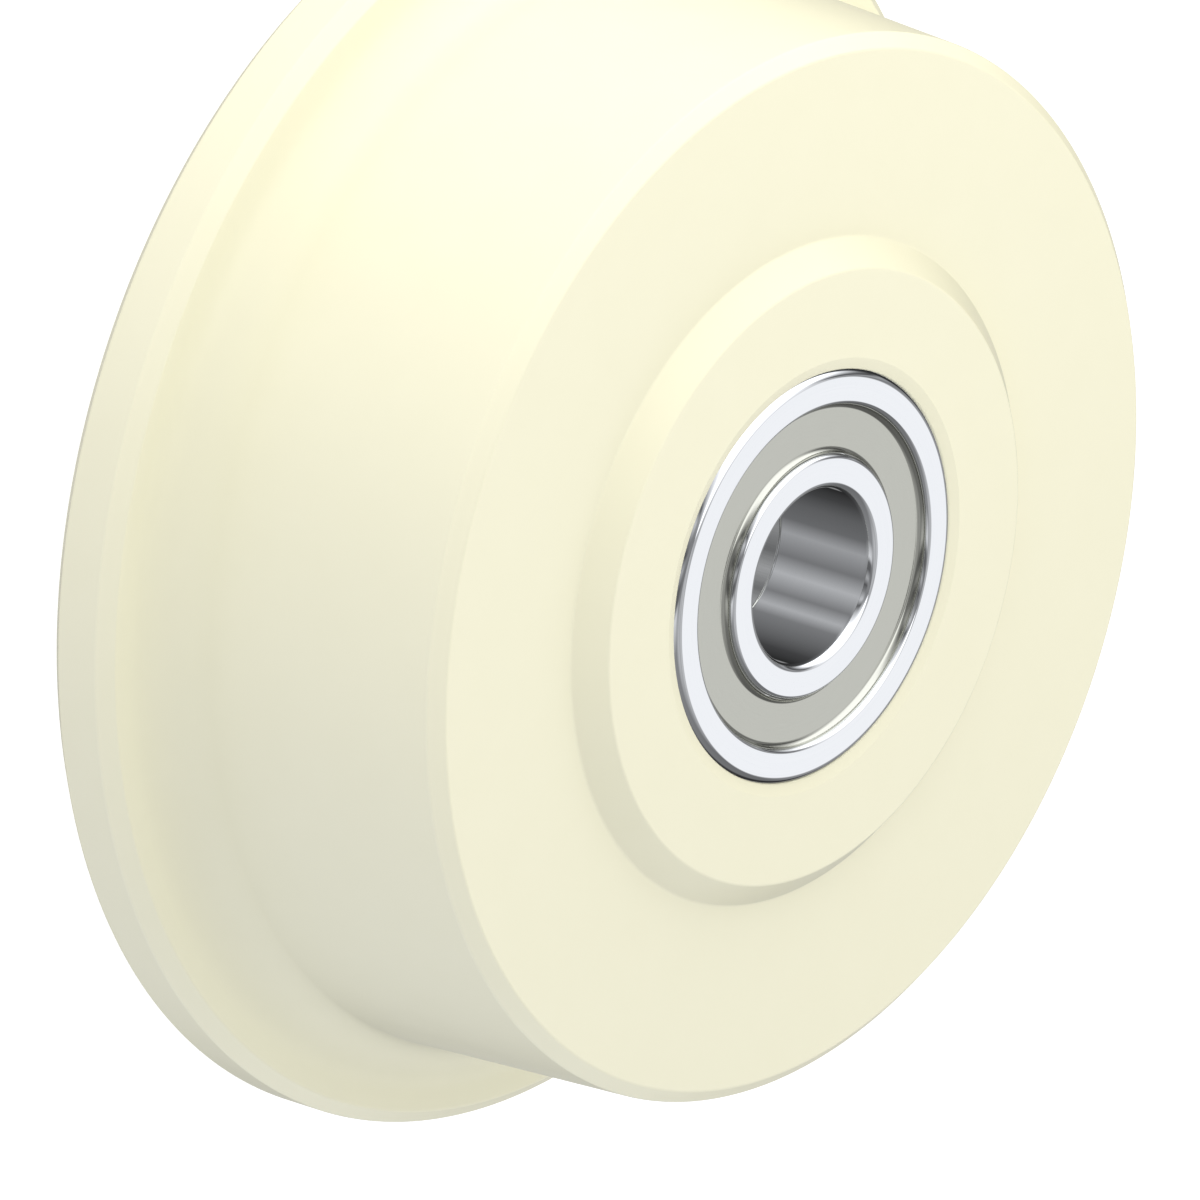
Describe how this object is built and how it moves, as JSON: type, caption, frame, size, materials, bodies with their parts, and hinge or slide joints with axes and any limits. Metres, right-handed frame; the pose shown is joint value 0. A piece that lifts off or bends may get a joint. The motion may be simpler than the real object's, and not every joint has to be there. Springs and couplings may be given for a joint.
{
  "type": "flanged wheel",
  "caption": "Cast nylon track wheel with a coned tread, a single flange and a raised hub boss, turning on two shielded ball bearings around a plain axle bore.",
  "frame": {"origin": "centre of the axle bore at the rear hub face, which is the bottom of the standing wheel", "axes": "+Z along the axle bore from the flange side to the front hub face; X and Y are free, because the wheel is round"},
  "size_m": [0.145, 0.145, 0.052],
  "materials": {
    "cast_nylon": "turned cast nylon, satin",
    "bearing_steel": "ground and polished",
    "shield_steel": "satin pressed sheet",
    "cage_steel": "pressed sheet",
    "sleeve_steel": "turned tube"
  },
  "bodies": {
    "axle_set": {"front_inner_ring": "bearing_steel", "rear_inner_ring": "bearing_steel", "spacer_sleeve": "sleeve_steel"},
    "wheel": {"wheel_body": "cast_nylon", "front_outer_ring": "bearing_steel", "front_upper_shield": "shield_steel", "front_lower_shield": "shield_steel", "rear_outer_ring": "bearing_steel", "rear_upper_shield": "shield_steel", "rear_lower_shield": "shield_steel"},
    "front_cage": {"front_upper_cage": "cage_steel", "front_lower_cage": "cage_steel", "front_cage_rivets": "cage_steel"},
    "front_ball_1": {"front_ball_1": "bearing_steel"},
    "front_ball_2": {"front_ball_2": "bearing_steel"},
    "front_ball_3": {"front_ball_3": "bearing_steel"},
    "front_ball_4": {"front_ball_4": "bearing_steel"},
    "front_ball_5": {"front_ball_5": "bearing_steel"},
    "front_ball_6": {"front_ball_6": "bearing_steel"},
    "front_ball_7": {"front_ball_7": "bearing_steel"},
    "front_ball_8": {"front_ball_8": "bearing_steel"},
    "rear_cage": {"rear_upper_cage": "cage_steel", "rear_lower_cage": "cage_steel", "rear_cage_rivets": "cage_steel"},
    "rear_ball_1": {"rear_ball_1": "bearing_steel"},
    "rear_ball_2": {"rear_ball_2": "bearing_steel"},
    "rear_ball_3": {"rear_ball_3": "bearing_steel"},
    "rear_ball_4": {"rear_ball_4": "bearing_steel"},
    "rear_ball_5": {"rear_ball_5": "bearing_steel"},
    "rear_ball_6": {"rear_ball_6": "bearing_steel"},
    "rear_ball_7": {"rear_ball_7": "bearing_steel"},
    "rear_ball_8": {"rear_ball_8": "bearing_steel"}
  },
  "joints": [
    {"name": "wheel_spin", "type": "hinge", "parent": "axle_set", "child": "wheel", "pos_m": [0, 0, 0.026], "axis": [0, 0, 1], "continuous": true},
    {"name": "front_cage_spin", "type": "hinge", "parent": "axle_set", "child": "front_cage", "pos_m": [0, 0, 0.045], "axis": [0, 0, 1], "continuous": true},
    {"name": "front_ball_1_spin", "type": "hinge", "parent": "front_cage", "child": "front_ball_1", "pos_m": [0.01675, 0, 0.045], "axis": [0, 0, 1], "continuous": true},
    {"name": "front_ball_2_spin", "type": "hinge", "parent": "front_cage", "child": "front_ball_2", "pos_m": [0.01184, 0.01184, 0.045], "axis": [0, 0, 1], "continuous": true},
    {"name": "front_ball_3_spin", "type": "hinge", "parent": "front_cage", "child": "front_ball_3", "pos_m": [0, 0.01675, 0.045], "axis": [0, 0, 1], "continuous": true},
    {"name": "front_ball_4_spin", "type": "hinge", "parent": "front_cage", "child": "front_ball_4", "pos_m": [-0.01184, 0.01184, 0.045], "axis": [0, 0, 1], "continuous": true},
    {"name": "front_ball_5_spin", "type": "hinge", "parent": "front_cage", "child": "front_ball_5", "pos_m": [-0.01675, 0, 0.045], "axis": [0, 0, 1], "continuous": true},
    {"name": "front_ball_6_spin", "type": "hinge", "parent": "front_cage", "child": "front_ball_6", "pos_m": [-0.01184, -0.01184, 0.045], "axis": [0, 0, 1], "continuous": true},
    {"name": "front_ball_7_spin", "type": "hinge", "parent": "front_cage", "child": "front_ball_7", "pos_m": [0, -0.01675, 0.045], "axis": [0, 0, 1], "continuous": true},
    {"name": "front_ball_8_spin", "type": "hinge", "parent": "front_cage", "child": "front_ball_8", "pos_m": [0.01184, -0.01184, 0.045], "axis": [0, 0, 1], "continuous": true},
    {"name": "rear_cage_spin", "type": "hinge", "parent": "axle_set", "child": "rear_cage", "pos_m": [0, 0, 0.007], "axis": [0, 0, 1], "continuous": true},
    {"name": "rear_ball_1_spin", "type": "hinge", "parent": "rear_cage", "child": "rear_ball_1", "pos_m": [0.01675, 0, 0.007], "axis": [0, 0, 1], "continuous": true},
    {"name": "rear_ball_2_spin", "type": "hinge", "parent": "rear_cage", "child": "rear_ball_2", "pos_m": [0.01184, 0.01184, 0.007], "axis": [0, 0, 1], "continuous": true},
    {"name": "rear_ball_3_spin", "type": "hinge", "parent": "rear_cage", "child": "rear_ball_3", "pos_m": [0, 0.01675, 0.007], "axis": [0, 0, 1], "continuous": true},
    {"name": "rear_ball_4_spin", "type": "hinge", "parent": "rear_cage", "child": "rear_ball_4", "pos_m": [-0.01184, 0.01184, 0.007], "axis": [0, 0, 1], "continuous": true},
    {"name": "rear_ball_5_spin", "type": "hinge", "parent": "rear_cage", "child": "rear_ball_5", "pos_m": [-0.01675, 0, 0.007], "axis": [0, 0, 1], "continuous": true},
    {"name": "rear_ball_6_spin", "type": "hinge", "parent": "rear_cage", "child": "rear_ball_6", "pos_m": [-0.01184, -0.01184, 0.007], "axis": [0, 0, 1], "continuous": true},
    {"name": "rear_ball_7_spin", "type": "hinge", "parent": "rear_cage", "child": "rear_ball_7", "pos_m": [0, -0.01675, 0.007], "axis": [0, 0, 1], "continuous": true},
    {"name": "rear_ball_8_spin", "type": "hinge", "parent": "rear_cage", "child": "rear_ball_8", "pos_m": [0.01184, -0.01184, 0.007], "axis": [0, 0, 1], "continuous": true}
  ],
  "couplings": [
    {"joint": "front_cage_spin", "follows": "wheel_spin", "ratio": 0.61848},
    {"joint": "front_ball_1_spin", "follows": "wheel_spin", "ratio": 1.9916},
    {"joint": "front_ball_2_spin", "follows": "wheel_spin", "ratio": 1.9916},
    {"joint": "front_ball_3_spin", "follows": "wheel_spin", "ratio": 1.9916},
    {"joint": "front_ball_4_spin", "follows": "wheel_spin", "ratio": 1.9916},
    {"joint": "front_ball_5_spin", "follows": "wheel_spin", "ratio": 1.9916},
    {"joint": "front_ball_6_spin", "follows": "wheel_spin", "ratio": 1.9916},
    {"joint": "front_ball_7_spin", "follows": "wheel_spin", "ratio": 1.9916},
    {"joint": "front_ball_8_spin", "follows": "wheel_spin", "ratio": 1.9916},
    {"joint": "rear_cage_spin", "follows": "wheel_spin", "ratio": 0.61848},
    {"joint": "rear_ball_1_spin", "follows": "wheel_spin", "ratio": 1.9916},
    {"joint": "rear_ball_2_spin", "follows": "wheel_spin", "ratio": 1.9916},
    {"joint": "rear_ball_3_spin", "follows": "wheel_spin", "ratio": 1.9916},
    {"joint": "rear_ball_4_spin", "follows": "wheel_spin", "ratio": 1.9916},
    {"joint": "rear_ball_5_spin", "follows": "wheel_spin", "ratio": 1.9916},
    {"joint": "rear_ball_6_spin", "follows": "wheel_spin", "ratio": 1.9916},
    {"joint": "rear_ball_7_spin", "follows": "wheel_spin", "ratio": 1.9916},
    {"joint": "rear_ball_8_spin", "follows": "wheel_spin", "ratio": 1.9916}
  ]
}
